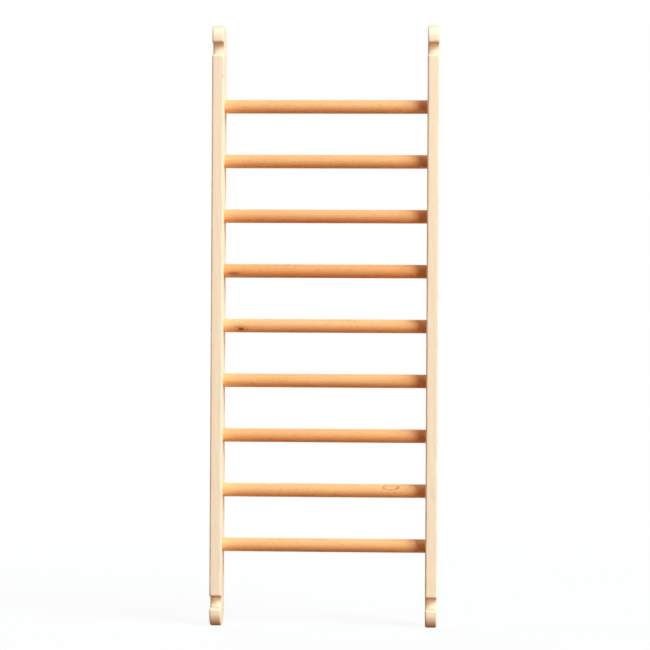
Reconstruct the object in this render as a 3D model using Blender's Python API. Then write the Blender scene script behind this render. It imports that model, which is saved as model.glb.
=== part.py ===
"""Climbing ladder: two hook-ended rails, round rungs, and the screws and cover plugs of their joints.

Metres, +Z up. The hooks open towards -Y, the rungs run along X, and the origin lies on the ground,
midway between the rails and midway through their depth.
"""

import math

import bmesh
import bpy

# Rungs: how many, how far apart, how thick
RUNG_COUNT = 9
RUNG_PITCH = 0.128
RUNG_DIAMETER = 0.032
RUNG_CHAMFER = 0.0015

# Rails: upright boards with every edge rounded over
CLEAR_WIDTH = 0.474
RAIL_THICKNESS = 0.027
RAIL_DEPTH = 0.095
EDGE_ROUND = 0.0045
END_MARGIN = 0.188
SOCKET_FLOOR = 0.011

# Hooks: a slot across the front of each rail end, with a round-nosed tip beyond it
HOOK_TIP = 0.043
SLOT_WIDTH = 0.026
SLOT_DEPTH = 0.028
LIP_ROUND = 0.0065
TIP_INNER_ROUND = 0.0065
TIP_OUTER_ROUND = 0.031
HEEL_ROUND = 0.040

# Countersunk wood screws, one into each end of a rung
SCREW_LENGTH = 0.060
SCREW_DIAMETER = 0.005
SCREW_HEAD_DIAMETER = 0.009
SCREW_HEAD_LAND = 0.0004
SCREW_POINT = 0.009
DRIVE_ACROSS = 0.0040
DRIVE_DEPTH = 0.0016

# Wooden plugs that close the screw holes, flush with the rails' outer faces
PLUG_DIAMETER = 0.012
PLUG_LENGTH = 0.004
PLUG_CHAMFER = 0.0006

# Gap between pieces that touch, and the least flat left where a rounding is limited by its wall
CLEARANCE = 0.0003
LEAST_FLAT = 0.001

# Facets of the round shapes
RUNG_FACETS = 20
SCREW_FACETS = 12
DRIVE_FACETS = 6
QUARTER_STEPS = 6
EDGE_STEPS = 3
SMOOTH_ANGLE = math.radians(35)

# Sizes that follow from the ones above
RAIL_LENGTH = (RUNG_COUNT - 1) * RUNG_PITCH + 2 * END_MARGIN
RAIL_OFFSET = (CLEAR_WIDTH + RAIL_THICKNESS) / 2
OUTER_FACE = CLEAR_WIDTH / 2 + RAIL_THICKNESS
SCREW_SEAT = PLUG_LENGTH + CLEARANCE
RUNG_END = SOCKET_FLOOR + CLEARANCE
RUNG_LENGTH = 2 * (OUTER_FACE - RUNG_END)
CUT_OVERSHOOT = RAIL_THICKNESS / 2
AXIS_TOLERANCE = 1e-6

SIDES = (("left", -1), ("right", 1))


def clear_scene():
    """Remove every object that the scene starts with."""
    for thing in list(bpy.data.objects):
        bpy.data.objects.remove(thing, do_unlink=True)


def make_material(name, colour, roughness, metallic=0.0):
    """Return a Principled material of one plain colour."""
    material = bpy.data.materials.new(name)
    material.use_nodes = True
    shader = material.node_tree.nodes["Principled BSDF"]
    shader.inputs["Base Color"].default_value = (*colour, 1.0)
    shader.inputs["Roughness"].default_value = roughness
    shader.inputs["Metallic"].default_value = metallic
    return material


def mesh_from(bm, name):
    """Turn a bmesh into a smooth-shaded mesh with its faces pointing out."""
    bmesh.ops.recalc_face_normals(bm, faces=bm.faces)
    mesh = bpy.data.meshes.new(name)
    bm.to_mesh(mesh)
    bm.free()
    mesh.shade_smooth()
    mesh.set_sharp_from_angle(angle=SMOOTH_ANGLE)
    return mesh


def add_object(name, mesh, material=None, location=(0, 0, 0), turn=0.0, parent=None):
    """Place a mesh in the scene, turned about Z, under a parent."""
    thing = bpy.data.objects.new(name, mesh)
    bpy.context.collection.objects.link(thing)
    thing.location = location
    thing.rotation_euler = (0, 0, turn)
    thing.parent = parent
    if material and not mesh.materials:
        mesh.materials.append(material)
    return thing


def add_cutter(name, mesh, parent):
    """Place a mesh that only cuts other pieces."""
    cutter = add_object(name, mesh, parent=parent)
    cutter.hide_render = True
    cutter.display_type = "WIRE"
    return cutter


def cut_away(piece, cutter):
    """Cut one object out of another with a Boolean modifier."""
    cut = piece.modifiers.new(cutter.name, "BOOLEAN")
    cut.operation = "DIFFERENCE"
    cut.solver = "EXACT"
    cut.object = cutter


def flatten_shading(piece):
    """Let the large flat faces of a rounded piece shade flat."""
    shading = piece.modifiers.new("flat_faces", "WEIGHTED_NORMAL")
    shading.keep_sharp = True


def turn_profile(bm, profile, facets):
    """Spin (x, radius) points, which start and end on the X axis, into a closed solid."""
    points = [bm.verts.new((x, radius, 0)) for x, radius in profile]
    edges = [bm.edges.new(pair) for pair in zip(points, points[1:])]
    bmesh.ops.spin(
        bm, geom=points + edges, cent=(0, 0, 0), axis=(1, 0, 0), dvec=(0, 0, 0),
        angle=math.tau, steps=facets, use_merge=True, use_duplicate=False,
    )
    bmesh.ops.remove_doubles(bm, verts=bm.verts, dist=AXIS_TOLERANCE)


def turned_mesh(name, profile, facets):
    """Return one turned solid as a mesh."""
    bm = bmesh.new()
    turn_profile(bm, profile, facets)
    return mesh_from(bm, name)


def rung_heights():
    """Heights of the rungs' axes above the ground, from the lowest up."""
    return [END_MARGIN + index * RUNG_PITCH for index in range(RUNG_COUNT)]


def arc(centre, radius, start, end):
    """Points (y, z) along an arc between two angles in degrees, both ends included."""
    steps = max(2, round(QUARTER_STEPS * abs(end - start) / 90))
    angles = [math.radians(start + (end - start) * step / steps) for step in range(steps + 1)]
    return [(centre[0] + radius * math.cos(a), centre[1] + radius * math.sin(a)) for a in angles]


def hook_rounds():
    """Radii of a hook's lip, inner tip, outer tip and heel, each limited by the wall that it ends."""
    slot_wall = SLOT_DEPTH - SLOT_WIDTH / 2 - LEAST_FLAT
    lip = min(LIP_ROUND, slot_wall)
    tip_inner = min(TIP_INNER_ROUND, slot_wall)
    tip_outer = min(TIP_OUTER_ROUND, HOOK_TIP - tip_inner - LEAST_FLAT)
    heel = min(HEEL_ROUND, RAIL_DEPTH - tip_outer - LEAST_FLAT)
    return lip, tip_inner, tip_outer, heel


def hook_outline():
    """Side outline (y, z) of a rail's upper end, from the front edge over the tip to the back edge.

    z is measured from the rail's middle.
    """
    front = -RAIL_DEPTH / 2
    back = RAIL_DEPTH / 2
    end = RAIL_LENGTH / 2
    slot_top = end - HOOK_TIP
    slot_bottom = slot_top - SLOT_WIDTH
    slot_round = SLOT_WIDTH / 2
    slot_axis = (front + SLOT_DEPTH - slot_round, slot_bottom + slot_round)
    lip, tip_inner, tip_outer, heel = hook_rounds()
    return (
        arc((front + lip, slot_bottom - lip), lip, 180, 90)
        + arc(slot_axis, slot_round, -90, 90)
        + arc((front + tip_inner, slot_top + tip_inner), tip_inner, -90, -180)
        + arc((front + tip_outer, end - tip_outer), tip_outer, 180, 90)
        + arc((back - heel, end - heel), heel, 90, 0)
    )


def rail_blank(name):
    """Return a rail's rounded board, before its joints are cut, centred on the origin."""
    upper = hook_outline()
    lower = [(y, -z) for y, z in reversed(upper)]
    bm = bmesh.new()
    rim = [bm.verts.new((-RAIL_THICKNESS / 2, y, z)) for y, z in upper + lower]
    face = bm.faces.new(rim)
    extruded = bmesh.ops.extrude_face_region(bm, geom=[face], use_keep_orig=True)
    moved = [item for item in extruded["geom"] if isinstance(item, bmesh.types.BMVert)]
    bmesh.ops.translate(bm, verts=moved, vec=(RAIL_THICKNESS, 0, 0))
    caps = [item for item in bm.faces if len(item.verts) == len(rim)]
    edges = [edge for cap in caps for edge in cap.edges]
    edge_round = min(EDGE_ROUND, min(hook_rounds()) - LEAST_FLAT)
    bmesh.ops.bevel(
        bm, geom=edges, offset=edge_round, offset_type="OFFSET", segments=EDGE_STEPS,
        profile=0.5, affect="EDGES", clamp_overlap=True,
    )
    return mesh_from(bm, name)


def joint_profile():
    """Bore of one rung joint, as (depth, radius) from the rail's outer face inwards.

    It holds the plug's counterbore, the screw's countersink and hole, and the rung's socket.
    """
    plug = PLUG_DIAMETER / 2 + CLEARANCE
    head = SCREW_HEAD_DIAMETER / 2 + CLEARANCE
    shank = SCREW_DIAMETER / 2 + CLEARANCE
    socket = RUNG_DIAMETER / 2 + CLEARANCE
    land = SCREW_SEAT + SCREW_HEAD_LAND
    return [
        (-CUT_OVERSHOOT, 0),
        (-CUT_OVERSHOOT, plug),
        (SCREW_SEAT, plug),
        (SCREW_SEAT, head),
        (land, head),
        (land + head - shank, shank),
        (SOCKET_FLOOR, shank),
        (SOCKET_FLOOR, socket),
        (RAIL_THICKNESS + CUT_OVERSHOOT, socket),
        (RAIL_THICKNESS + CUT_OVERSHOOT, 0),
    ]


def joint_bores(name, side):
    """Return the bores of all the rung joints in one rail, in world coordinates, as one mesh."""
    profile = [(side * (OUTER_FACE - depth), radius) for depth, radius in joint_profile()]
    bm = bmesh.new()
    for height in rung_heights():
        before = set(bm.verts)
        turn_profile(bm, profile, RUNG_FACETS)
        fresh = [vert for vert in bm.verts if vert not in before]
        bmesh.ops.translate(bm, verts=fresh, vec=(0, 0, height))
    return mesh_from(bm, name)


def rung_mesh():
    """Return a rung along X, centred on the origin, with a screw hole in each end."""
    end = RUNG_LENGTH / 2
    radius = RUNG_DIAMETER / 2
    hole = SCREW_DIAMETER / 2 + CLEARANCE
    tip = OUTER_FACE - SCREW_SEAT - SCREW_LENGTH
    half = [
        (tip - CLEARANCE, 0),
        (tip + SCREW_POINT, hole),
        (end, hole),
        (end, radius - RUNG_CHAMFER),
        (end - RUNG_CHAMFER, radius),
    ]
    other = [(-x, r) for x, r in reversed(half)]
    return turned_mesh("rung", half + other, RUNG_FACETS)


def screw_mesh():
    """Return a screw along X, its head's top at the origin and its point towards +X."""
    head = SCREW_HEAD_DIAMETER / 2
    shank = SCREW_DIAMETER / 2
    profile = [
        (0, 0),
        (0, head),
        (SCREW_HEAD_LAND, head),
        (SCREW_HEAD_LAND + head - shank, shank),
        (SCREW_LENGTH - SCREW_POINT, shank),
        (SCREW_LENGTH, 0),
    ]
    return turned_mesh("screw", profile, SCREW_FACETS)


def drive_mesh():
    """Return the six-sided driver recess of a screw's head."""
    corner = DRIVE_ACROSS / 2 / math.cos(math.pi / DRIVE_FACETS)
    profile = [
        (-DRIVE_DEPTH, 0),
        (-DRIVE_DEPTH, corner),
        (DRIVE_DEPTH, corner),
        (DRIVE_DEPTH, 0),
    ]
    return turned_mesh("drive", profile, DRIVE_FACETS)


def plug_mesh():
    """Return a plug along X, its outer face at the origin and its chamfered end towards +X."""
    radius = PLUG_DIAMETER / 2
    profile = [
        (0, 0),
        (0, radius),
        (PLUG_LENGTH - PLUG_CHAMFER, radius),
        (PLUG_LENGTH, radius - PLUG_CHAMFER),
        (PLUG_LENGTH, 0),
    ]
    return turned_mesh("plug", profile, RUNG_FACETS)


def build_rails(parent, wood):
    """Make both rails, each with its joints bored."""
    for word, side in SIDES:
        name = f"{word}_rail"
        place = (side * RAIL_OFFSET, 0, RAIL_LENGTH / 2)
        rail = add_object(name, rail_blank(name), wood, place, parent=parent)
        bores = add_cutter(f"{name}_bores", joint_bores(f"{name}_bores", side), parent)
        cut_away(rail, bores)
        flatten_shading(rail)


def build_rungs(parent, wood):
    """Make the rungs, numbered from the lowest up."""
    mesh = rung_mesh()
    for number, height in enumerate(rung_heights(), start=1):
        add_object(f"rung_{number}", mesh, wood, (0, 0, height), parent=parent)


def build_screws(parent, steel):
    """Make the screws, one through each rail into each rung."""
    mesh = screw_mesh()
    drive = drive_mesh()
    for word, side in SIDES:
        turn = 0 if side < 0 else math.pi
        for number, height in enumerate(rung_heights(), start=1):
            place = (side * (OUTER_FACE - SCREW_SEAT), 0, height)
            screw = add_object(f"{word}_screw_{number}", mesh, steel, place, turn, parent)
            recess = add_cutter(f"{word}_drive_{number}", drive, screw)
            cut_away(screw, recess)


def build_plugs(parent, wood):
    """Make the plugs that close the screw holes."""
    mesh = plug_mesh()
    for word, side in SIDES:
        turn = 0 if side < 0 else math.pi
        for number, height in enumerate(rung_heights(), start=1):
            place = (side * OUTER_FACE, 0, height)
            add_object(f"{word}_plug_{number}", mesh, wood, place, turn, parent)


def main():
    """Build the whole ladder under one empty."""
    clear_scene()
    rail_wood = make_material("rail_wood", (0.83, 0.66, 0.44), 0.45)
    rung_wood = make_material("rung_wood", (0.72, 0.38, 0.15), 0.42)
    plug_wood = make_material("plug_wood", (0.76, 0.57, 0.35), 0.50)
    screw_steel = make_material("screw_steel", (0.62, 0.61, 0.58), 0.35, 1.0)
    ladder = add_object("ladder", None)
    build_rails(ladder, rail_wood)
    build_rungs(ladder, rung_wood)
    build_screws(ladder, screw_steel)
    build_plugs(ladder, plug_wood)


main()
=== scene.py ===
"""Looks of a climbing ladder: pale hooked rails, warm round rungs, cover plugs and threaded screws.

Metres, +Z up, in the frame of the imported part: the rungs run along X and the hooks open towards -Y.
"""

import logging
import math
from collections.abc import Sequence
from dataclasses import dataclass
from enum import Enum

import bmesh
import bpy
import numpy as np
from bpy.types import ID, Material, Mesh, Node, NodeSocket, NodeTree, Object
from mathutils import Matrix, Vector, noise


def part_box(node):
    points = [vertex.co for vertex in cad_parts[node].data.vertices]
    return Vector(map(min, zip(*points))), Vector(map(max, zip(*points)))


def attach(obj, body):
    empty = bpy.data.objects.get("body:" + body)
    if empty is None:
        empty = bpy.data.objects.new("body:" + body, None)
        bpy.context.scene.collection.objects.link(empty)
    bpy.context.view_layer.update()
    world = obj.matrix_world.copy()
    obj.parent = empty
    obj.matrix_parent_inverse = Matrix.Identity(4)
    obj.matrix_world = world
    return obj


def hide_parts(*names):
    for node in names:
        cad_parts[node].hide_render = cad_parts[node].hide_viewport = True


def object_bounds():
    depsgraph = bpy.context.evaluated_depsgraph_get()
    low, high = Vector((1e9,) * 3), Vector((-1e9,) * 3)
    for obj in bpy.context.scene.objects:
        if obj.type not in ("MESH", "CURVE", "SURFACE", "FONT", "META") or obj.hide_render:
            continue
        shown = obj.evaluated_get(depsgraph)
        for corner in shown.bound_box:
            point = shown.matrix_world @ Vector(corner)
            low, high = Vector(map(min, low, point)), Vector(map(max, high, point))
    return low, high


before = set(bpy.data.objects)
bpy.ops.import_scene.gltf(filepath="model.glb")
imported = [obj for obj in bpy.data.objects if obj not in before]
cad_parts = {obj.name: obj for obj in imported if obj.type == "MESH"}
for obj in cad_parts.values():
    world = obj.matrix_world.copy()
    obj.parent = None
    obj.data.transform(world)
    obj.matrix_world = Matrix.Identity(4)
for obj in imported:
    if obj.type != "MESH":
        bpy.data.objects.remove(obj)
CAD_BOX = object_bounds()

LOG = logging.getLogger("climbing_ladder")
BODY = "root"
RUNG_NUMBERS = range(1, 10)
RUNG_HEARTS = (0.20, 0.10, 0.50, 0.35, 0.15, 0.95, 0.55, 0.40, 0.30)
SMOOTH_ANGLE = math.radians(35)
ARC_STEP_DEGREES = 6.0
SIXTH_TURN = math.pi / 3
NOISE_MEAN = 0.5
END_GRAIN_POWER = 3
CROSS_SECTION = (1.0, 1.0, 0.0)
FAR_FROM_KNOTS = (9.0, 9.0, -9.0)

Colour = tuple[float, float, float]
Point = tuple[float, float, float]
FlatPoint = tuple[float, float]
Span = tuple[float, float]
Feed = NodeSocket | float | tuple
Sockets = dict[str, NodeSocket]

WHITE: Colour = (1.0, 1.0, 1.0)


class Side(Enum):
    """The two rails, by the sign of their X."""

    LEFT = -1
    RIGHT = 1

    @property
    def word(self) -> str:
        """Name of the side, as the names of the nodes spell it."""
        return self.name.lower()


class GrainRun(Enum):
    """Which way a piece's fibres run: the axes across, across and along the grain."""

    UPRIGHT = (0, 1, 2)
    CROSSWISE = (1, 2, 0)


class Slot(Enum):
    """The record's material slots."""

    RAIL = "rail_wood"
    RUNG = "rung_wood"
    PLUG = "plug_wood"
    SCREW = "screw_steel"


class Mark(Enum):
    """Values that a wooden mesh carries for its finish to read."""

    LOG_PLACE = "log_place"
    KNOT_PLACE = "knot_place"
    KNOT_DARK = "knot_dark"
    HEART = "heart_share"
    END_GRAIN = "end_grain"
    EDGE = "rounded_edge"


class SocketKind(Enum):
    """Kinds of socket on a node group."""

    VALUE = "NodeSocketFloat"
    VECTOR = "NodeSocketVector"


def rgba(colour: Colour) -> tuple[float, float, float, float]:
    """Return a colour with full opacity."""
    return (*colour, 1.0)


class Wiring:
    """Adds nodes to one node tree and joins their sockets."""

    # A Mix node's colour sockets go by number, because their names are those of its other sockets too
    mix_inputs: tuple[int, int, int] = (0, 6, 7)
    mix_result: int = 2

    def __init__(self, tree: NodeTree) -> None:
        """Keep the tree that the nodes go into."""
        self.tree = tree

    def feed(self, socket: NodeSocket, value: Feed) -> None:
        """Give an input a link or a fixed value.

        Args:
            socket: The input.
            value: Another node's output, or a number, vector or colour.
        """
        if isinstance(value, NodeSocket):
            self.tree.links.new(value, socket)
        else:
            socket.default_value = value

    def fill(self, node: Node, values: dict[str, Feed]) -> None:
        """Feed a node's inputs, each by its name."""
        for name, value in values.items():
            self.feed(node.inputs[name], value)

    def node(self, kind: str, *values: Feed, **settings: object) -> Node:
        """Add one node.

        Args:
            kind: Blender's name for the kind of node.
            *values: What goes into its first inputs, in order.
            **settings: Properties of the node.

        Returns:
            The new node.
        """
        node = self.tree.nodes.new(kind)
        for name, value in settings.items():
            setattr(node, name, value)
        for socket, value in zip(node.inputs, values):
            self.feed(socket, value)
        return node

    def shader(self, kind: str, *values: Feed) -> NodeSocket:
        """Return the output of a new shader node, fed with the values in order."""
        return self.node(kind, *values).outputs[0]

    def math(self, operation: str, *values: Feed) -> NodeSocket:
        """Return the output of a new Math node, fed with the values in order."""
        return self.node("ShaderNodeMath", *values, operation=operation).outputs["Value"]

    def vector(self, operation: str, *values: Feed) -> NodeSocket:
        """Return the output of a new Vector Math node: a number for LENGTH, and otherwise a vector."""
        node = self.node("ShaderNodeVectorMath", *values, operation=operation)
        return node.outputs["Value" if operation == "LENGTH" else "Vector"]

    def step(self, value: Feed, span: Span) -> NodeSocket:
        """Add a smooth step, which may rise or fall.

        Args:
            value: What is compared.
            span: Where the step is 0, and where it is 1.

        Returns:
            The step's output.
        """
        start, end = span
        ends = (start, end, 0.0, 1.0) if start < end else (end, start, 1.0, 0.0)
        node = self.node("ShaderNodeMapRange", value, *ends, interpolation_type="SMOOTHSTEP")
        return node.outputs["Result"]

    def cloud(self, place: Feed, patches: Point, detail: float) -> NodeSocket:
        """Add a Noise Texture.

        Args:
            place: Where it is read.
            patches: Patches in each unit of the place, along each axis.
            detail: Layers of finer noise.

        Returns:
            The texture's value.
        """
        node = self.node("ShaderNodeTexNoise", self.vector("MULTIPLY", place, patches))
        self.fill(node, {"Scale": 1.0, "Detail": detail})
        return node.outputs["Fac"]

    def blend(self, amount: Feed, first: Feed, second: Feed, mode: str = "MIX") -> NodeSocket:
        """Add a Mix node for colours.

        Args:
            amount: Share of the second colour.
            first: The first colour.
            second: The second colour.
            mode: Blender's name for the way of mixing.

        Returns:
            The mixed colour.
        """
        node = self.node("ShaderNodeMix", data_type="RGBA", blend_type=mode)
        for index, value in zip(self.mix_inputs, (amount, first, second)):
            self.feed(node.inputs[index], value)
        return node.outputs[self.mix_result]

    def relief(self, height: Feed, strength: float, depth: float) -> NodeSocket:
        """Add a Bump node.

        Args:
            height: Height of the surface.
            strength: How much of the relief shows.
            depth: Depth of the relief, in metres.

        Returns:
            The bumped normal.
        """
        node = self.node("ShaderNodeBump")
        self.fill(node, {"Strength": strength, "Distance": depth, "Height": height})
        return node.outputs["Normal"]

    def mark(self, mark: Mark) -> Node:
        """Add a node that reads one of the mesh's own values."""
        return self.node("ShaderNodeAttribute", attribute_name=mark.value)


class SurfaceEffect(Wiring):
    """A shader node group, made once and placed in each material that uses it.

    Each Span in a group says where a smooth step is 0 and where it is 1.
    """

    name: str
    inputs: dict[str, SocketKind]
    outputs: tuple[str, ...]

    def __init__(self) -> None:
        """Find the group, or make it the first time."""
        made = bpy.data.node_groups.get(self.name)
        super().__init__(made or bpy.data.node_groups.new(self.name, "ShaderNodeTree"))
        if not made:
            self.make()

    def make(self) -> None:
        """Give the group its sockets and its nodes."""
        for name, kind in self.inputs.items():
            self.tree.interface.new_socket(name, in_out="INPUT", socket_type=kind.value)
        for name in self.outputs:
            self.tree.interface.new_socket(name, in_out="OUTPUT", socket_type=SocketKind.VALUE.value)
        self.entry = self.node("NodeGroupInput")
        leave = self.node("NodeGroupOutput")
        self.fill(leave, self.draw())

    def draw(self) -> Sockets:
        """Fill the group with nodes.

        Returns:
            What goes to each of the group's outputs.
        """
        raise NotImplementedError

    def place(self, wiring: Wiring, **values: Feed) -> Node:
        """Put the group into a material.

        Args:
            wiring: The material's wiring.
            **values: What goes into the group's inputs, by name with _ for each space.

        Returns:
            The group's node.
        """
        node = wiring.node("ShaderNodeGroup", node_tree=self.tree)
        wiring.fill(node, {name.replace("_", " "): value for name, value in values.items()})
        return node


class GrowthRings(SurfaceEffect):
    """Rings round the pith, slow bands of tone, and knots that push the rings aside."""

    name = "growth_rings"
    inputs = {
        "Place": SocketKind.VECTOR,
        "Knot Place": SocketKind.VECTOR,
        "Ring Width": SocketKind.VALUE,
        "Wander": SocketKind.VALUE,
    }
    outputs = ("Late Wood", "Band", "Knot", "Rim", "Halo")
    knot_side: Span = (-2.6, -1.2)
    halo_fade: float = -0.8
    ragged_patches: Point = (2.2, 2.2, 2.2)
    raggedness: float = 0.5
    core_edge: Span = (0.70, 0.15)
    rim_start: Span = (0.66, 0.82)
    rim_end: Span = (1.02, 0.88)
    drift_patches: Point = (7.0, 7.0, 1.5)
    uneven_patches: Point = (60.0, 60.0, 3.0)
    unevenness: float = 1.6
    knot_push: float = 2.6
    late_rise: Span = (0.25, 0.90)
    late_fall: Span = (1.0, 0.92)
    faintest_year: float = 0.3
    band_patches: Point = (75.0, 75.0, 2.4)
    band_edge: Span = (0.32, 0.68)

    def draw(self) -> Sockets:
        """Draw the knots, the rings that bend round them, and the bands.

        Returns:
            What goes to each of the group's outputs.
        """
        place = self.entry.outputs["Place"]
        knot_place = self.entry.outputs["Knot Place"]

        # Knots: distance from the core, on the side where the knot comes out
        reach = self.vector("LENGTH", self.vector("MULTIPLY", knot_place, CROSS_SECTION))
        depth = self.node("ShaderNodeSeparateXYZ", knot_place).outputs["Z"]
        outside = self.step(depth, self.knot_side)
        squared = self.math("MULTIPLY", reach, reach)
        fading = self.math("EXPONENT", self.math("MULTIPLY", squared, self.halo_fade))
        halo = self.math("MULTIPLY", fading, outside)
        ragged = self.cloud(knot_place, self.ragged_patches, detail=3.0)
        swing = self.math("SUBTRACT", ragged, NOISE_MEAN)
        rough_reach = self.math("MULTIPLY_ADD", swing, self.raggedness, reach)
        core = self.math("MULTIPLY", self.step(rough_reach, self.core_edge), outside)
        inner_rim = self.step(rough_reach, self.rim_start)
        outer_rim = self.step(rough_reach, self.rim_end)
        rim = self.math("MULTIPLY", self.math("MULTIPLY", inner_rim, outer_rim), outside)

        # Rings: distance from the pith, which wanders along the log and bends round a knot
        drift = self.cloud(place, self.drift_patches, detail=2.0).node.outputs["Color"]
        centred = self.vector("SUBTRACT", drift, (NOISE_MEAN,) * 3)
        shift = self.node("ShaderNodeVectorMath", centred, operation="SCALE")
        self.feed(shift.inputs["Scale"], self.entry.outputs["Wander"])
        moved = self.vector("ADD", place, shift.outputs["Vector"])
        radius = self.vector("LENGTH", self.vector("MULTIPLY", moved, CROSS_SECTION))
        count = self.math("DIVIDE", radius, self.entry.outputs["Ring Width"])
        uneven = self.cloud(moved, self.uneven_patches, detail=2.0)
        count = self.math("MULTIPLY_ADD", uneven, self.unevenness, count)
        count = self.math("MULTIPLY_ADD", halo, self.knot_push, count)
        phase = self.math("FRACT", count)
        rise = self.step(phase, self.late_rise)
        late = self.math("MULTIPLY", rise, self.step(phase, self.late_fall))
        year = self.node("ShaderNodeTexWhiteNoise", noise_dimensions="1D")
        self.feed(year.inputs["W"], self.math("FLOOR", count))
        spread = 1.0 - self.faintest_year
        strength = self.math("MULTIPLY_ADD", year.outputs["Value"], spread, self.faintest_year)

        # Bands: broad stripes of tone that follow the fibres
        band = self.cloud(moved, self.band_patches, detail=3.0)
        return {
            "Late Wood": self.math("MULTIPLY", late, strength),
            "Band": self.step(band, self.band_edge),
            "Knot": core,
            "Rim": rim,
            "Halo": halo,
        }


class FibresAndPores(SurfaceEffect):
    """Fine fibres, open pores and the short dark flecks of the wood's rays."""

    name = "fibres_and_pores"
    inputs = {"Place": SocketKind.VECTOR}
    outputs = ("Fibre", "Pores", "Flecks")
    fibre_patches: Point = (650.0, 650.0, 12.0)
    fibre_edge: Span = (0.30, 0.70)
    pore_patches: Point = (1700.0, 1700.0, 70.0)
    pore_edge: Span = (0.60, 0.74)
    ray_patches: Point = (430.0, 430.0, 75.0)
    ray_edge: Span = (0.34, 0.16)
    ray_choice: Span = (0.45, 0.75)

    def draw(self) -> Sockets:
        """Draw the fibres, the pores and the flecks.

        Returns:
            What goes to each of the group's outputs.
        """
        place = self.entry.outputs["Place"]
        fibre = self.cloud(place, self.fibre_patches, detail=3.0)
        pores = self.cloud(place, self.pore_patches, detail=1.0)
        ray_place = self.vector("MULTIPLY", place, self.ray_patches)
        rays = self.node("ShaderNodeTexVoronoi", ray_place, feature="F1")
        self.feed(rays.inputs["Scale"], 1.0)
        chosen = self.node("ShaderNodeSeparateColor", rays.outputs["Color"]).outputs["Red"]
        spot = self.step(rays.outputs["Distance"], self.ray_edge)
        return {
            "Fibre": self.step(fibre, self.fibre_edge),
            "Pores": self.step(pores, self.pore_edge),
            "Flecks": self.math("MULTIPLY", spot, self.step(chosen, self.ray_choice)),
        }


class LacquerFilm(SurfaceEffect):
    """A brushed clear film: wiped patches of gloss, a skin that sinks into the grain, and a mask of the
    rounded edges for their wear and their painted shade.
    """

    name = "lacquer_film"
    inputs = {
        "Place": SocketKind.VECTOR,
        "Fibre": SocketKind.VALUE,
        "Pores": SocketKind.VALUE,
        "Edge": SocketKind.VALUE,
        "Mean Roughness": SocketKind.VALUE,
    }
    outputs = ("Roughness", "Height", "Worn")
    wiped_patches: Point = (45.0, 45.0, 11.0)
    wiped_share: float = 0.30
    rubbed_patches: Point = (60.0, 60.0, 25.0)
    rubbed_edge: Span = (0.34, 0.66)
    least_rubbed: float = 0.5
    pore_roughness: float = 0.12
    worn_roughness: float = 0.10
    brushed_patches: Point = (260.0, 260.0, 90.0)
    fibre_height: float = 0.35
    pore_height: float = -0.8

    def draw(self) -> Sockets:
        """Draw the gloss, the relief and the mask of the rounded edges, which are rubbed rougher and carry
        painted shade.

        Returns:
            What goes to each of the group's outputs.
        """
        place = self.entry.outputs["Place"]
        pores = self.entry.outputs["Pores"]
        wiped = self.cloud(place, self.wiped_patches, detail=3.0)
        rubbed = self.cloud(place, self.rubbed_patches, detail=4.0)
        rubbed = self.step(rubbed, self.rubbed_edge)
        patchy = self.math("MULTIPLY_ADD", rubbed, 1.0 - self.least_rubbed, self.least_rubbed)
        # The rounded edges, in patches: rougher from wear, and the mask for their painted shade
        edge_wear_and_shade_mask = self.math("MULTIPLY", self.entry.outputs["Edge"], patchy)
        swing = self.math("SUBTRACT", wiped, NOISE_MEAN)
        roughness = self.math("MULTIPLY_ADD", swing, self.wiped_share, self.entry.outputs["Mean Roughness"])
        roughness = self.math("MULTIPLY_ADD", pores, self.pore_roughness, roughness)
        roughness = self.math("MULTIPLY_ADD", edge_wear_and_shade_mask, self.worn_roughness, roughness)
        brushed = self.cloud(place, self.brushed_patches, detail=2.0)
        height = self.math("MULTIPLY_ADD", self.entry.outputs["Fibre"], self.fibre_height, brushed)
        height = self.math("MULTIPLY_ADD", pores, self.pore_height, height)
        return {"Roughness": roughness, "Height": height, "Worn": edge_wear_and_shade_mask}


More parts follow.
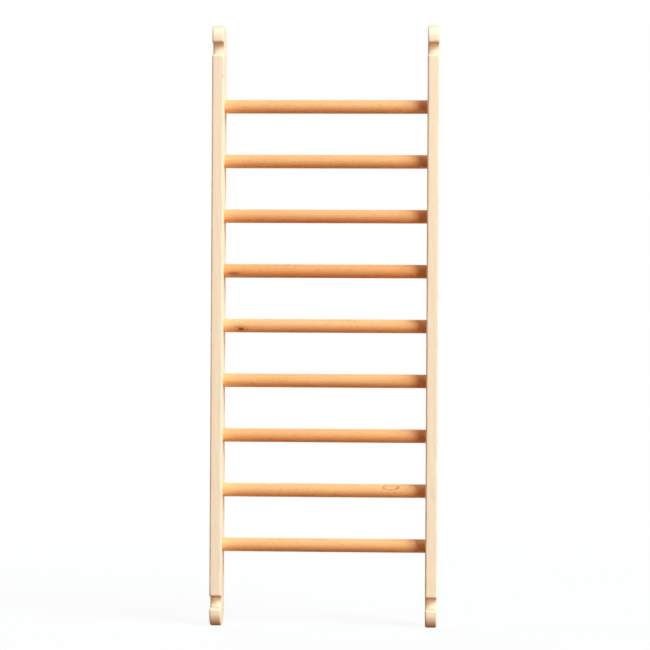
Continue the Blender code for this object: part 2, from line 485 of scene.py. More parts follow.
@dataclass(frozen=True)
class WoodFinish:
    """A clear-lacquered wood, with the colours of its layers."""

    name: str
    early_wood: Colour
    late_wood: Colour
    band: Colour
    fleck: Colour
    knot: Colour
    # Colour of the rounded edges: painted shade on the rails, a paler rim from wear on the plugs
    edge_wear_and_shade: Colour
    ring_width: float
    wander: float
    fibre_share: float
    fleck_share: float
    roughness: float
    late_share: float = 0.50
    band_share: float = 0.55
    pore_share: float = 0.60
    halo_share: float = 0.35
    heart_tint: Colour = (0.960, 0.900, 0.820)
    end_grain: Colour = (0.860, 0.800, 0.720)
    coat: float = 0.08
    coat_roughness: float = 0.28
    shine: float = 0.0
    relief: float = 0.35
    relief_depth: float = 0.00025

    def material(self) -> Material:
        """Make the material from the shared effects.

        Returns:
            The material.
        """
        material = bpy.data.materials.new(self.name)
        material.use_nodes = True
        wiring = Wiring(material.node_tree)
        place = wiring.mark(Mark.LOG_PLACE).outputs["Vector"]
        rings = GrowthRings().place(
            wiring,
            Place=place,
            Knot_Place=wiring.mark(Mark.KNOT_PLACE).outputs["Vector"],
            Ring_Width=self.ring_width,
            Wander=self.wander,
        )
        fibres = FibresAndPores().place(wiring, Place=place)
        film = LacquerFilm().place(
            wiring,
            Place=place,
            Fibre=fibres.outputs["Fibre"],
            Pores=fibres.outputs["Pores"],
            Edge=wiring.mark(Mark.EDGE).outputs["Fac"],
            Mean_Roughness=self.roughness,
        )
        wiring.fill(wiring.tree.nodes["Principled BSDF"], {
            "Base Color": self._colour(wiring, rings, fibres, film),
            "Roughness": film.outputs["Roughness"],
            "Normal": wiring.relief(film.outputs["Height"], self.relief, self.relief_depth),
            "Specular IOR Level": self.shine,
            "Coat Weight": self.coat,
            "Coat Roughness": self.coat_roughness,
        })
        return material

    def _colour(self, wiring: Wiring, rings: Node, fibres: Node, film: Node) -> NodeSocket:
        """Lay the colours of the wood over each other.

        Args:
            wiring: The material's wiring.
            rings: The growth rings' node.
            fibres: The fibres' node.
            film: The lacquer's node.

        Returns:
            The colour of the surface.
        """
        colour = rgba(self.early_wood)
        for mask, share, layer in (
            (rings.outputs["Late Wood"], self.late_share, self.late_wood),
            (rings.outputs["Band"], self.band_share, self.band),
            (fibres.outputs["Fibre"], self.fibre_share, self.late_wood),
        ):
            colour = wiring.blend(wiring.math("MULTIPLY", mask, share), colour, rgba(layer))
        fleck = wiring.math("MULTIPLY", fibres.outputs["Flecks"], self.fleck_share)
        pore_share = self.fleck_share * self.pore_share
        fleck = wiring.math("MULTIPLY_ADD", fibres.outputs["Pores"], pore_share, fleck)
        colour = wiring.blend(fleck, colour, rgba(self.fleck))
        heart = wiring.mark(Mark.HEART).outputs["Fac"]
        colour = wiring.blend(heart, colour, rgba(self.heart_tint), "MULTIPLY")
        knot = wiring.math("MULTIPLY_ADD", rings.outputs["Halo"], self.halo_share, rings.outputs["Knot"])
        dark = wiring.node("ShaderNodeSeparateXYZ", wiring.mark(Mark.KNOT_DARK).outputs["Vector"])
        core = wiring.math("MULTIPLY", knot, dark.outputs["X"])
        stain = wiring.math("MULTIPLY_ADD", rings.outputs["Rim"], dark.outputs["Y"], core)
        colour = wiring.blend(stain, colour, rgba(self.knot))
        end = wiring.mark(Mark.END_GRAIN).outputs["Fac"]
        colour = wiring.blend(end, colour, rgba(self.end_grain), "MULTIPLY")
        # The rounded edges take their own colour: on the rails a darker one, painted shade that keeps them
        # from looking brighter than the faces; on the plugs a paler rim from wear
        return wiring.blend(film.outputs["Worn"], colour, rgba(self.edge_wear_and_shade))


@dataclass(frozen=True)
class ZincFinish:
    """Bright zinc on steel, clouded a little by handling."""

    name: str = "bright_zinc"
    bright: Colour = (0.66, 0.66, 0.64)
    clouded: Colour = (0.50, 0.51, 0.52)
    cloud_patches: Point = (900.0, 900.0, 900.0)
    cloud_edge: Span = (0.35, 0.70)
    least_rough: float = 0.18
    cloud_roughness: float = 0.35
    line_patches: Point = (9000.0, 700.0, 700.0)
    relief: float = 0.2
    relief_depth: float = 0.00003

    def material(self) -> Material:
        """Make the material.

        Returns:
            The material.
        """
        material = bpy.data.materials.new(self.name)
        material.use_nodes = True
        wiring = Wiring(material.node_tree)
        place = wiring.node("ShaderNodeTexCoord").outputs["Object"]
        clouds = wiring.cloud(place, self.cloud_patches, detail=4.0)
        lines = wiring.cloud(place, self.line_patches, detail=2.0)
        mask = wiring.step(clouds, self.cloud_edge)
        wiring.fill(wiring.tree.nodes["Principled BSDF"], {
            "Base Color": wiring.blend(mask, rgba(self.bright), rgba(self.clouded)),
            "Metallic": 1.0,
            "Roughness": wiring.math("MULTIPLY_ADD", clouds, self.cloud_roughness, self.least_rough),
            "Normal": wiring.relief(lines, self.relief, self.relief_depth),
        })
        return material


RAIL_FINISH = WoodFinish(
    name="pale_rail_wood",
    early_wood=(0.935, 0.820, 0.635),
    late_wood=(0.820, 0.650, 0.445),
    band=(0.940, 0.765, 0.565),
    fleck=(0.560, 0.360, 0.180),
    knot=(0.330, 0.160, 0.060),
    # Darker rounded edges: painted shade
    edge_wear_and_shade=(0.700, 0.600, 0.460),
    ring_width=0.0034,
    wander=0.030,
    fibre_share=0.14,
    fleck_share=0.10,
    roughness=0.48,
)
RUNG_FINISH = WoodFinish(
    name="warm_rung_wood",
    early_wood=(0.930, 0.550, 0.265),
    late_wood=(0.720, 0.330, 0.125),
    band=(0.930, 0.490, 0.220),
    fleck=(0.360, 0.110, 0.030),
    knot=(0.300, 0.085, 0.024),
    edge_wear_and_shade=(0.830, 0.420, 0.190),
    ring_width=0.0026,
    wander=0.026,
    fibre_share=0.20,
    fleck_share=0.35,
    roughness=0.40,
    heart_tint=(0.900, 0.740, 0.620),
    end_grain=(0.800, 0.720, 0.640),
    coat=0.16,
    coat_roughness=0.30,
    shine=0.05,
)
PLUG_FINISH = WoodFinish(
    name="plug_face_wood",
    early_wood=(0.790, 0.615, 0.395),
    late_wood=(0.650, 0.455, 0.255),
    band=(0.800, 0.580, 0.360),
    fleck=(0.480, 0.290, 0.140),
    knot=(0.300, 0.140, 0.050),
    # A paler rim, from wear
    edge_wear_and_shade=(0.830, 0.680, 0.460),
    ring_width=0.0024,
    wander=0.020,
    fibre_share=0.22,
    fleck_share=0.18,
    roughness=0.50,
    late_share=0.60,
    band_share=0.40,
)


@dataclass(frozen=True)
class LogCut:
    """Where in its log a piece was sawn, which decides its tone and the figure on its faces."""

    pith_distance: float
    pith_angle: float
    lean: float
    start: float
    heart: float = 0.0

    def places(self, points: np.ndarray, centre: Vector, run: GrainRun) -> np.ndarray:
        """Find points of a piece in its log.

        Args:
            points: Points of the piece, one a row.
            centre: Middle of the piece.
            run: Which way its fibres run.

        Returns:
            The points in the log, whose pith lies on Z.
        """
        offset = points - np.array(centre)
        first, second, along = (offset[:, axis] for axis in run.value)
        turn = math.radians(self.pith_angle)
        across = first * math.cos(turn) - second * math.sin(turn)
        deep = first * math.sin(turn) + second * math.cos(turn)
        away = across + self.pith_distance + self.lean * along
        return np.column_stack((away, deep, along + self.start))


@dataclass(frozen=True)
class Knot:
    """One knot that comes out of a piece's surface, with how dark its core and its rim are."""

    centre: Point
    outward: Point
    grain: Point
    half_length: float
    half_width: float
    core: float
    rim: float

    def places(self, points: np.ndarray) -> np.ndarray:
        """Find points of a piece beside the knot.

        Args:
            points: Points of the piece, one a row.

        Returns:
            Distance along the grain, across it and outwards, in units of the knot's own size.
        """
        outward = Vector(self.outward).normalized()
        grain = Vector(self.grain).normalized()
        across = outward.cross(grain)
        offset = points - np.array(self.centre)
        return np.column_stack((
            offset @ np.array(grain) / self.half_length,
            offset @ np.array(across) / self.half_width,
            offset @ np.array(outward) / self.half_width,
        ))


RAIL_CUTS = {
    Side.LEFT: LogCut(pith_distance=0.055, pith_angle=55, lean=0.010, start=0.3),
    Side.RIGHT: LogCut(pith_distance=0.062, pith_angle=118, lean=-0.012, start=2.7),
}
RAIL_KNOTS = {
    Side.LEFT: Knot(
        centre=(-0.2388, -0.0457, 1.280),
        outward=(0.7, -0.7, 0.0),
        grain=(0.0, 0.0, 1.0),
        half_length=0.006,
        half_width=0.0022,
        core=0.9,
        rim=0.0,
    ),
}


def middle_and_half(node: str) -> tuple[Vector, Vector]:
    """Return the middle of a solid, and half its size."""
    low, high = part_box(node)
    return (low + high) / 2, (high - low) / 2


def rung_knots() -> dict[int, Knot]:
    """Place the knots that some rungs show.

    Returns:
        The knots, by the rungs' numbers.
    """
    knots = {}
    for number, x, lift, half_length, half_width, core, rim in (
        (5, -0.196, -30, 0.017, 0.0085, 0.80, 0.25),
        (6, -0.214, -24, 0.032, 0.0095, 0.50, 0.00),
        (2, 0.156, 33, 0.021, 0.0068, 0.05, 0.60),
    ):
        middle, half = middle_and_half(f"rung_{number}")
        angle = math.radians(lift)
        outward = (0.0, -math.cos(angle), math.sin(angle))
        centre = (x, outward[1] * half.z, middle.z + outward[2] * half.z)
        knots[number] = Knot(centre, outward, (1.0, 0.0, 0.0), half_length, half_width, core, rim)
    return knots


def vertex_places(mesh: Mesh) -> np.ndarray:
    """Return a mesh's vertices, one a row."""
    return np.array([vertex.co for vertex in mesh.vertices])


def write_mark(mesh: Mesh, mark: Mark, values: np.ndarray) -> None:
    """Store a value for each vertex of a mesh.

    Args:
        mesh: The mesh.
        mark: Which value it is.
        values: One number or one vector for each vertex.
    """
    vectors = values.ndim == 2
    kind = "FLOAT_VECTOR" if vectors else "FLOAT"
    attribute = mesh.attributes.new(mark.value, kind, "POINT")
    attribute.data.foreach_set("vector" if vectors else "value", values.ravel().astype(np.float32))


def mark_wood(mesh: Mesh, cut: LogCut, centre: Vector, run: GrainRun, knot: Knot | None = None) -> None:
    """Store how dark a wooden piece is, and where each vertex lies in its log and beside its knot.

    Args:
        mesh: The piece's mesh.
        cut: Where in the log it was sawn.
        centre: Middle of the piece.
        run: Which way its fibres run.
        knot: The knot that it shows, if any.
    """
    points = vertex_places(mesh)
    count = len(points)
    write_mark(mesh, Mark.LOG_PLACE, cut.places(points, centre, run))
    far = np.tile(np.array(FAR_FROM_KNOTS), (count, 1))
    write_mark(mesh, Mark.KNOT_PLACE, knot.places(points) if knot else far)
    dark = (knot.core, knot.rim, 0.0) if knot else (0.0, 0.0, 0.0)
    write_mark(mesh, Mark.KNOT_DARK, np.tile(np.array(dark), (count, 1)))
    write_mark(mesh, Mark.HEART, np.full(count, cut.heart))
    normals = np.array([vertex.normal for vertex in mesh.vertices])
    along = np.abs(normals[:, run.value[2]])
    write_mark(mesh, Mark.END_GRAIN, np.clip(along, 0.0, 1.0) ** END_GRAIN_POWER)


def mesh_of(name: str, points: Sequence[Sequence[float]], faces: list[list[int]]) -> Mesh:
    """Make a smooth-shaded mesh with its faces pointing out.

    Args:
        name: Name of the mesh.
        points: Its vertices.
        faces: Its faces, as the numbers of their vertices.

    Returns:
        The mesh.
    """
    mesh = bpy.data.meshes.new(name)
    mesh.from_pydata([tuple(point) for point in points], [], faces)
    bm = bmesh.new()
    bm.from_mesh(mesh)
    bmesh.ops.recalc_face_normals(bm, faces=bm.faces)
    bm.to_mesh(mesh)
    bm.free()
    mesh.shade_smooth()
    mesh.set_sharp_from_angle(angle=SMOOTH_ANGLE)
    return mesh


def ring_angles(facets: int) -> np.ndarray:
    """Return the angles of a ring's points."""
    return np.arange(facets) * math.tau / facets


def turned_rings(profile: Sequence[FlatPoint], facets: int) -> tuple[np.ndarray, np.ndarray]:
    """Return where a turned profile's (x, radius) rings lie, and their radii, one ring a row."""
    stations, radii = np.array(profile).T
    return stations, np.repeat(radii[:, None], facets, axis=1)


def turned_mesh(name: str, stations: np.ndarray, radii: np.ndarray, centre: Sequence[float]) -> Mesh:
    """Make a closed piece whose rings of points lie round a line along X.

    Args:
        name: Name of the mesh.
        stations: Where each ring lies along the line, from its centre.
        radii: Distance of each ring's points from the line, one ring a row. The first and last
            rings are points on the line, whatever their row says.
        centre: Middle of the line.

    Returns:
        The mesh.
    """
    facets = radii.shape[1]
    angles = ring_angles(facets)
    middle = np.array(centre)
    points = [middle + (stations[0], 0, 0)]
    for station, row in zip(stations[1:-1], radii[1:-1]):
        ring = np.column_stack((np.full(facets, station), row * np.cos(angles), row * np.sin(angles)))
        points.extend(middle + ring)
    points.append(middle + (stations[-1], 0, 0))
    last = len(points) - 1
    final_ring = last - facets
    faces = []
    for index in range(facets):
        beside = (index + 1) % facets
        faces.append([0, 1 + index, 1 + beside])
        for first in range(1, final_ring, facets):
            second = first + facets
            faces.append([first + index, second + index, second + beside, first + beside])
        faces.append([final_ring + index, last, final_ring + beside])
    return mesh_of(name, points, faces)


def add_object(name: str, data: ID) -> Object:
    """Put a mesh, a lamp or a camera into the scene.

    Args:
        name: Name of the object.
        data: Its mesh, light or camera data.

    Returns:
        The object.
    """
    thing = bpy.data.objects.new(name, data)
    bpy.context.scene.collection.objects.link(thing)
    return thing


def add_piece(name: str, mesh: Mesh, material: Material, node: str) -> None:
    """Put a dressed piece in the place of its plain solid.

    Args:
        name: Name of the piece.
        mesh: Its mesh, in the part's frame.
        material: Its finish.
        node: The solid that it stands for.
    """
    mesh.materials.append(material)
    piece = add_object(name, mesh)
    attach(piece, BODY)
    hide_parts(node)
    LOG.info("%s: %d faces", name, len(mesh.polygons))


def arc(centre: FlatPoint, radius: float, start: float, end: float) -> list[FlatPoint]:
    """Place points along an arc.

    Args:
        centre: Centre of the arc.
        radius: Radius of the arc.
        start: Angle of its first point, in degrees.
        end: Angle of its last point, in degrees.

    Returns:
        The points, both ends included.
    """
    steps = round(abs(end - start) / ARC_STEP_DEGREES)
    angles = [math.radians(start + (end - start) * step / steps) for step in range(steps + 1)]
    return [(centre[0] + radius * math.cos(a), centre[1] + radius * math.sin(a)) for a in angles]


@dataclass(frozen=True)
class HookShape:
    """Side shape of a rail's end: a slot across the front, and a round-nosed tip beyond it."""

    tip: float = 0.043
    slot_width: float = 0.026
    slot_depth: float = 0.028
    lip_round: float = 0.0065
    tip_inner_round: float = 0.0065
    tip_outer_round: float = 0.031
    heel_round: float = 0.040

    def outline(self, depth: float, length: float, inset: float) -> list[FlatPoint]:
        """Draw the upper end of a rail, from its front edge over the tip to its back edge.

        Args:
            depth: Depth of the rail.
            length: Length of the rail.
            inset: How far the line lies inside the rail's outline.

        Returns:
            Points (y, z), with z from the rail's middle.
        """
        front = -depth / 2
        back = depth / 2
        end = length / 2
        slot_top = end - self.tip
        slot_bottom = slot_top - self.slot_width
        slot_round = self.slot_width / 2
        lip = self.lip_round
        inner = self.tip_inner_round
        outer = self.tip_outer_round
        heel = self.heel_round
        slot_axis = (front + self.slot_depth - slot_round, slot_bottom + slot_round)
        return (
            arc((front + lip, slot_bottom - lip), lip - inset, 180, 90)
            + arc(slot_axis, slot_round + inset, -90, 90)
            + arc((front + inner, slot_top + inner), inner - inset, -90, -180)
            + arc((front + outer, end - outer), outer - inset, 180, 90)
            + arc((back - heel, end - heel), heel - inset, 90, 0)
        )


@dataclass
class HookedRail:
    """One upright board, hooked at both ends, with every edge rounded over and its joints bored."""

    side: Side
    cut: LogCut
    knot: Knot | None = None
    hook: HookShape = HookShape()
    edge_round: float = 0.0045
    edge_steps: int = 8
    longest_run: float = 0.02
    sanding: float = 0.00012
    sanding_patches: float = 40.0
    socket_floor: float = 0.011
    socket_gap: float = 0.0001
    socket_lip: float = 0.0005
    plug_gap: float = 0.0001
    plug_lip: float = 0.0003
    plug_seat: float = 0.0043
    screw_radius: float = 0.0028
    bore_facets: int = 72

    def __post_init__(self) -> None:
        """Take the board's place and size from its solid."""
        self.node = f"{self.side.word}_rail"
        self.name = f"{self.node}_board"
        self.centre, half = middle_and_half(self.node)
        self.thickness, self.depth, self.length = half * 2

    def rim(self, inset: float) -> np.ndarray:
        """Draw the whole outline of the board.

        Args:
            inset: How far the line lies inside the outline.

        Returns:
            Points (y, z) from the board's middle, one a row, with long stretches divided.
        """
        upper = self.hook.outline(self.depth, self.length, inset)
        corners = upper + [(y, -z) for y, z in reversed(upper)]
        points = []
        for start, end in zip(corners, corners[1:] + corners[:1]):
            runs = max(1, round(math.dist(start, end) / self.longest_run))
            shares = np.arange(runs)[:, None] / runs
            points.append(np.array(start) + (np.array(end) - np.array(start)) * shares)
        return np.concatenate(points)

    def blank(self) -> Mesh:
        """Make the rounded board before its joints are bored.

        Returns:
            The board's mesh.
        """
        half = self.thickness / 2
        angles = [math.pi / 2 * step / self.edge_steps for step in range(self.edge_steps + 1)]
        # Each section's x, how far it lies inside the outline, and how close it is to the edge's middle
        rounding = [
            (half - self.edge_round * (1 - math.cos(a)), self.edge_round * (1 - math.sin(a)), math.sin(2 * a))
            for a in angles
        ]
        sections = [(-x, inset, edge) for x, inset, edge in rounding] + rounding[::-1]
        outward = self.rim(0.0) - self.rim(self.edge_round / 2)
        outward /= np.linalg.norm(outward, axis=1)[:, None]
        points = []
        for x, inset, edge in sections:
            for (y, z), away in zip(self.rim(inset), outward):
                place = self.centre + Vector((x, y, z))
                wave = noise.noise(place * self.sanding_patches) * self.sanding * edge
                points.append(place + Vector((0, away[0], away[1])) * wave)
        around = len(outward)
        faces = [list(range(around)), list(range(len(points) - around, len(points)))]
        for first in range(0, len(points) - around, around):
            for index in range(around):
                beside = (index + 1) % around
                faces.append([first + index, first + beside, first + around + beside, first + around + index])
        return mesh_of(self.name, points, faces)

    def bores(self) -> Mesh:
        """Make what is drilled out for the rungs, screws and plugs.

        Returns:
            All the bores, as one mesh.
        """
        outer_face = abs(self.centre.x) + self.thickness / 2
        plug = middle_and_half(f"{self.side.word}_plug_1")[1].z + self.plug_gap
        socket = middle_and_half("rung_1")[1].z + self.socket_gap
        beyond = self.thickness / 2
        profile = [
            (-beyond, 0.0),
            (-beyond, plug + self.plug_lip + beyond),
            (self.plug_lip, plug),
            (self.plug_seat, plug),
            (self.plug_seat, self.screw_radius),
            (self.socket_floor, self.screw_radius),
            (self.socket_floor, socket),
            (self.thickness - self.socket_lip, socket),
            (self.thickness + beyond, socket + self.socket_lip + beyond),
            (self.thickness + beyond, 0.0),
        ]
        depths, radii = turned_rings(profile, self.bore_facets)
        stations = self.side.value * (outer_face - depths)
        bm = bmesh.new()
        for number in RUNG_NUMBERS:
            height = middle_and_half(f"rung_{number}")[0].z
            bore = turned_mesh("bore", stations, radii, (0.0, 0.0, height))
            bm.from_mesh(bore)
            bpy.data.meshes.remove(bore)
        mesh = bpy.data.meshes.new(f"{self.node}_bores")
        bm.to_mesh(mesh)
        bm.free()
        return mesh

    def bored(self) -> Mesh:
        """Drill the board.

        Returns:
            The finished board, with its flat faces shaded flat.
        """
        board = add_object(self.name, self.blank())
        drill = add_object(f"{self.node}_drill", self.bores())
        cut = board.modifiers.new("bores", "BOOLEAN")
        cut.operation = "DIFFERENCE"
        cut.solver = "EXACT"
        cut.object = drill
        shading = board.modifiers.new("flat_faces", "WEIGHTED_NORMAL")
        shading.keep_sharp = True
        graph = bpy.context.evaluated_depsgraph_get()
        mesh = bpy.data.meshes.new_from_object(board.evaluated_get(graph), depsgraph=graph)
        for thing in (board, drill):
            used = thing.data
            bpy.data.objects.remove(thing)
            bpy.data.meshes.remove(used)
        return mesh

    def build(self, material: Material) -> None:
        """Make the board and put it in place of its solid.

        Args:
            material: The rails' wood.
        """
        mesh = self.bored()
        mark_wood(mesh, self.cut, self.centre, GrainRun.UPRIGHT, self.knot)
        # Mark the rounded edges, which the finish darkens there as painted shade
        inside = self.thickness / 2 - np.abs(vertex_places(mesh)[:, 0] - self.centre.x)
        share = np.clip(inside / self.edge_round, 0.0, 1.0)
        write_mark(mesh, Mark.EDGE, np.sin(share * math.pi))
        add_piece(self.name, mesh, material, self.node)


@dataclass
class Rung:
    """One round rung, turned a little unevenly, with a pilot hole in each end."""

    number: int
    knot: Knot | None = None
    facets: int = 64
    ring_step: float = 0.008
    end_ease: float = 0.0015
    unevenness: float = 0.00010
    waves_along: float = 18.0
    wave_offset: float = 7.0
    hole_radius: float = 0.0028
    hole_depth: float = 0.053
    hole_point: float = 0.009
    nearest_pith: float = 0.020
    pith_step: float = 0.004
    pith_stride: int = 5
    log_turn: float = 47.0
    log_lean: float = 0.012
    log_start: float = 5.0
    log_step: float = 1.3

    def __post_init__(self) -> None:
        """Take the rung's place and size from its solid."""
        self.node = f"rung_{self.number}"
        self.centre, half = middle_and_half(self.node)
        self.half_length = half.x
        self.radius = half.z

    def cut(self) -> LogCut:
        """Return where the rung was sawn: each at another distance from the pith, with its own tone."""
        steps = self.number * self.pith_stride % len(RUNG_NUMBERS)
        return LogCut(
            pith_distance=self.nearest_pith + self.pith_step * steps,
            pith_angle=self.log_turn * self.number,
            lean=self.log_lean,
            start=self.log_start + self.log_step * self.number,
            heart=RUNG_HEARTS[self.number - 1],
        )

    def profile(self) -> list[FlatPoint]:
        """Draw the rung from the bottom of one pilot hole, round the outside, to the other.

        Returns:
            Points (x, radius).
        """
        end = self.half_length
        shoulder = end - self.end_ease
        hole = [
            (end - self.hole_depth, 0.0),
            (end - self.hole_depth + self.hole_point, self.hole_radius),
            (end, self.hole_radius),
            (end, self.radius - self.end_ease),
        ]
        runs = round(2 * shoulder / self.ring_step)
        outside = [(shoulder - 2 * shoulder * run / runs, self.radius) for run in range(runs + 1)]
        return hole + outside + [(-x, radius) for x, radius in reversed(hole)]

    def build(self, material: Material) -> None:
        """Make the rung and put it in place of its solid.

        Args:
            material: The rungs' wood.
        """
        stations, radii = turned_rings(self.profile(), self.facets)
        angles = ring_angles(self.facets)
        for x, row in zip(stations, radii):
            if row[0] < self.radius:
                continue
            along = x * self.waves_along + self.number * self.wave_offset
            for column, angle in enumerate(angles):
                spot = Vector((along, math.cos(angle), math.sin(angle)))
                row[column] -= self.unevenness * (0.5 + 0.5 * noise.noise(spot))
        name = f"{self.node}_dowel"
        mesh = turned_mesh(name, stations, radii, self.centre)
        mark_wood(mesh, self.cut(), self.centre, GrainRun.CROSSWISE, self.knot)
        write_mark(mesh, Mark.EDGE, np.zeros(len(mesh.vertices)))
        add_piece(name, mesh, material, self.node)


@dataclass
class CoverPlug:
    """One wooden plug over a screw's head, sanded flush, its grain nearly in line with the rail's."""

    side: Side
    number: int
    facets: int = 48
    edge_ease: float = 0.0003
    crown: float = 0.00008
    end_chamfer: float = 0.0006
    worn_rim: float = 0.1
    pith_distance: float = 0.030
    log_turn: float = 31.0
    log_lean: float = 0.05
    log_start: float = 20.0
    side_gap: float = 10.0

    def cut(self) -> LogCut:
        """Return where the plug was cut, its rings turned against those of the plugs beside it."""
        return LogCut(
            pith_distance=self.pith_distance,
            pith_angle=self.log_turn * self.number * self.side.value,
            lean=self.log_lean * self.side.value,
            start=self.log_start + self.number + self.side_gap * self.side.value,
        )

    def build(self, material: Material) -> None:
        """Make the plug and put it in place of its solid.

        Args:
            material: The plugs' wood.
        """
        node = f"{self.side.word}_plug_{self.number}"
        centre, half = middle_and_half(node)
        end = half.x
        radius = half.z
        profile = [
            (end, 0.0),
            (end - self.crown / 4, radius / 2),
            (end - self.crown, radius - self.edge_ease),
            (end - self.crown - self.edge_ease, radius),
            (self.end_chamfer - end, radius),
            (-end, radius - self.end_chamfer),
            (-end, radius / 2),
            (-end, 0.0),
        ]
        stations, radii = turned_rings(profile, self.facets)
        name = f"{node}_disc"
        mesh = turned_mesh(name, stations * self.side.value, radii, centre)
        mark_wood(mesh, self.cut(), centre, GrainRun.UPRIGHT)
        points = vertex_places(mesh) - np.array(centre)
        reach = np.hypot(points[:, 1], points[:, 2]) / radius
        write_mark(mesh, Mark.EDGE, np.clip(1.0 - (1.0 - reach) / self.worn_rim, 0.0, 1.0))
        add_piece(name, mesh, material, node)


@dataclass
class WoodScrew:
    """One countersunk screw, with a six-sided recess in its head and a coarse thread."""

    side: Side
    number: int
    facets: int = 24
    shank_radius: float = 0.0025
    core_radius: float = 0.0016
    head_radius: float = 0.0045
    head_land: float = 0.0004
    thread_start: float = 0.024
    thread_pitch: float = 0.0026
    thread_root: float = 0.35
    rings_per_turn: int = 10
    point: float = 0.009
    recess_across: float = 0.0040
    recess_depth: float = 0.0016

    def recess_radii(self, angles: np.ndarray) -> np.ndarray:
        """Return the six-sided recess's distance from the axis, for each angle."""
        off_middle = angles % SIXTH_TURN - SIXTH_TURN / 2
        return self.recess_across / 2 / np.cos(off_middle)

    def thread_radii(self, along: float, length: float, angles: np.ndarray) -> np.ndarray:
        """Find one ring of the thread.

        Args:
            along: Distance of the ring from the head's top.
            length: Length of the screw.
            angles: Angles of the ring's points.

        Returns:
            Their distances from the axis.
        """
        turns = (along - self.thread_start) / self.thread_pitch - angles / math.tau
        flank = 1 - np.abs((turns % 1.0) * 2 - 1)
        ridge = np.clip((flank - self.thread_root) / (1 - self.thread_root), 0.0, 1.0)
        taper = min(1.0, (length - along) / self.point)
        start = min(1.0, (along - self.thread_start) / self.thread_pitch)
        crest = self.shank_radius * taper
        core = self.core_radius * taper
        run_out = self.shank_radius + (core - self.shank_radius) * start
        return run_out + (crest - run_out) * ridge

    def build(self, material: Material) -> None:
        """Make the screw and put it in place of its solid.

        Args:
            material: The screws' zinc.
        """
        node = f"{self.side.word}_screw_{self.number}"
        low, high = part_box(node)
        length = high.x - low.x
        angles = ring_angles(self.facets)
        recess = self.recess_radii(angles)
        around = np.ones(self.facets)
        cone = self.head_radius - self.shank_radius
        rings = [
            (self.recess_depth, around * 0.0),
            (self.recess_depth, recess),
            (0.0, recess),
            (0.0, around * (self.head_radius - self.head_land / 2)),
            (self.head_land / 2, around * self.head_radius),
            (self.head_land, around * self.head_radius),
            (self.head_land + cone, around * self.shank_radius),
        ]
        step = self.thread_pitch / self.rings_per_turn
        for index in range(int((length - self.thread_start) / step)):
            along = self.thread_start + index * step
            rings.append((along, self.thread_radii(along, length, angles)))
        rings.append((length, around * 0.0))
        head_top = high.x if self.side is Side.RIGHT else low.x
        inward = -self.side.value
        stations = np.array([along for along, _ in rings]) * inward
        radii = np.array([radius for _, radius in rings])
        name = f"{node}_threaded"
        mesh = turned_mesh(name, stations, radii, (head_top, (low.y + high.y) / 2, (low.z + high.z) / 2))
        add_piece(name, mesh, material, node)


@dataclass(frozen=True)
class Lamp:
    """One soft lamp, aimed at the ladder's middle. At level 1, what faces it shows about its own colour."""

    name: str
    azimuth: float
    elevation: float
    distance: float
    diameter: float
    level: float
    colour: Colour

    def place(self, target: Vector) -> None:
        """Hang the lamp.

        Args:
            target: The point that it faces.
        """
        azimuth = math.radians(self.azimuth)
        elevation = math.radians(self.elevation)
        way = Vector((
            math.cos(elevation) * math.sin(azimuth),
            -math.cos(elevation) * math.cos(azimuth),
            math.sin(elevation),
        ))
        light = bpy.data.lights.new(self.name, "AREA")
        light.shape = "DISK"
        light.size = self.diameter
        light.energy = self.level * (math.pi * self.distance) ** 2
        light.color = self.colour
        lamp = add_object(self.name, light)
        lamp.location = target + way * self.distance
        lamp.rotation_euler = (-way).to_track_quat("-Z", "Y").to_euler()
        lamp.visible_camera = False


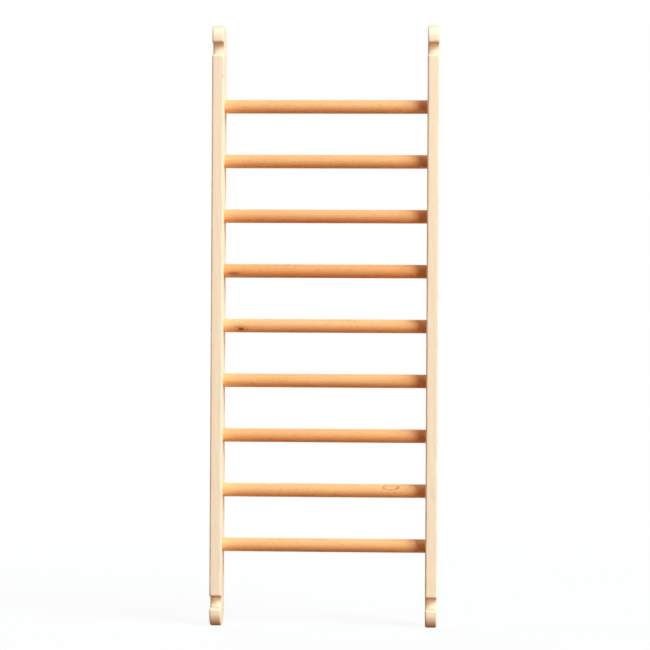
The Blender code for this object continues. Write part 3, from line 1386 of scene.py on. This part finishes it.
@dataclass(frozen=True)
class Studio:
    """A white floor and surround, soft lamps and the camera, with angles in degrees."""

    # Each lamp's azimuth, elevation, distance, diameter, level and colour
    lamps: tuple[Lamp, ...] = (
        Lamp("key", 50, 41, 20.0, 13.0, 1.42, (0.65, 0.90, 1.0)),
        Lamp("low", 44, 4, 16.0, 8.0, 0.67, (1.0, 0.81, 0.57)),
        Lamp("top", 3, 72, 16.0, 6.0, 0.10, (0.75, 0.92, 1.0)),
        Lamp("back", 205, 24, 10.0, 5.0, 0.76, (0.82, 0.98, 1.0)),
        Lamp("left", 268, 10, 10.0, 5.0, 0.52, (0.80, 0.98, 1.0)),
    )
    room_light: Colour = (0.20, 0.028, 0.003)
    floor_half: float = 30.0
    floor_drop: float = 0.0005
    floor_colour: Colour = (0.19, 0.06, 0.015)
    seen_floor_colour: Colour = (0.06, 0.06, 0.06)
    seen_floor_glow: float = 0.91
    shadow_reach: Span = (1.6, 3.2)
    camera_place: Point = (0.290, -6.200, 0.700)
    camera_yaw: float = 2.678
    camera_pitch: float = 0.022
    camera_roll: float = 0.309
    camera_lens: float = 147.12
    camera_sensor: float = 36.0

    @staticmethod
    def seen(wiring: Wiring) -> NodeSocket:
        """Tell the rays that show the background from those that only light the part.

        Args:
            wiring: The wiring of the world or of the floor.

        Returns:
            1 for what the camera sees, straight, mirrored or through glass, and otherwise 0.
        """
        path = wiring.node("ShaderNodeLightPath").outputs
        mirrored = wiring.math("MAXIMUM", path["Is Glossy Ray"], path["Is Transmission Ray"])
        return wiring.math("MAXIMUM", path["Is Camera Ray"], mirrored)

    def make_world(self) -> None:
        """Surround the ladder with even light, and show it as white."""
        world = bpy.data.worlds.new("studio")
        world.use_nodes = True
        bpy.context.scene.world = world
        wiring = Wiring(world.node_tree)
        room = wiring.tree.nodes["Background"]
        wiring.feed(room.inputs["Color"], rgba(self.room_light))
        white = wiring.shader("ShaderNodeBackground", rgba(WHITE))
        mixed = wiring.shader("ShaderNodeMixShader", self.seen(wiring), room.outputs["Background"], white)
        wiring.feed(wiring.tree.nodes["World Output"].inputs["Surface"], mixed)

    def floor_material(self) -> Material:
        """Make the floor's finish: white to look at, with the ladder's shadow, and a mild bounce.

        Returns:
            The material, which nothing under the floor sees.
        """
        material = bpy.data.materials.new("white_floor")
        material.use_nodes = True
        wiring = Wiring(material.node_tree)
        place = wiring.node("ShaderNodeTexCoord").outputs["Object"]
        far = wiring.step(wiring.vector("LENGTH", place), self.shadow_reach)
        shaded = wiring.shader("ShaderNodeBsdfDiffuse", rgba(self.seen_floor_colour))
        glow = wiring.shader("ShaderNodeEmission", rgba(WHITE), self.seen_floor_glow)
        near = wiring.shader("ShaderNodeAddShader", shaded, glow)
        white = wiring.shader("ShaderNodeEmission", rgba(WHITE), 1.0)
        look = wiring.shader("ShaderNodeMixShader", far, near, white)
        bounce = wiring.shader("ShaderNodeBsdfDiffuse", rgba(self.floor_colour))
        above = wiring.shader("ShaderNodeMixShader", self.seen(wiring), bounce, look)
        under = wiring.node("ShaderNodeNewGeometry").outputs["Backfacing"]
        through = wiring.shader("ShaderNodeBsdfTransparent")
        surface = wiring.shader("ShaderNodeMixShader", under, above, through)
        wiring.feed(wiring.tree.nodes["Material Output"].inputs["Surface"], surface)
        return material

    def make_floor(self) -> None:
        """Lay the floor that the ladder stands on."""
        half = self.floor_half
        corners = [(-half, -half, 0.0), (half, -half, 0.0), (half, half, 0.0), (-half, half, 0.0)]
        mesh = bpy.data.meshes.new("floor")
        mesh.from_pydata(corners, [], [[0, 1, 2, 3]])
        mesh.materials.append(self.floor_material())
        floor = add_object("floor", mesh)
        floor.location.z = -self.floor_drop

    def make_camera(self) -> None:
        """Stand the camera where the ladder is seen almost square to its front."""
        data = bpy.data.cameras.new("camera")
        data.lens = self.camera_lens
        data.sensor_width = self.camera_sensor
        camera = add_object("camera", data)
        camera.matrix_world = (
            Matrix.Translation(self.camera_place)
            @ Matrix.Rotation(math.radians(self.camera_yaw), 4, "Z")
            @ Matrix.Rotation(math.radians(90 + self.camera_pitch), 4, "X")
            @ Matrix.Rotation(math.radians(self.camera_roll), 4, "Z")
        )
        bpy.context.scene.camera = camera

    def build(self) -> None:
        """Set up the light, the floor and the camera."""
        bpy.context.scene.view_settings.view_transform = "Standard"
        low, high = CAD_BOX
        for lamp in self.lamps:
            lamp.place((low + high) / 2)
        self.make_world()
        self.make_floor()
        self.make_camera()
        LOG.info("studio: %d lamps", len(self.lamps))


def main() -> None:
    """Build the ladder's pieces and the studio."""
    logging.basicConfig(level=logging.INFO, format="%(message)s")
    rail_wood = RAIL_FINISH.material()
    rung_wood = RUNG_FINISH.material()
    plug_wood = PLUG_FINISH.material()
    zinc = ZincFinish().material()
    for side in Side:
        HookedRail(side, RAIL_CUTS[side], RAIL_KNOTS.get(side)).build(rail_wood)
    knots = rung_knots()
    for number in RUNG_NUMBERS:
        Rung(number, knots.get(number)).build(rung_wood)
    for side in Side:
        for number in RUNG_NUMBERS:
            CoverPlug(side, number).build(plug_wood)
            WoodScrew(side, number).build(zinc)
    Studio().build()


if __name__ == "__main__":
    main()
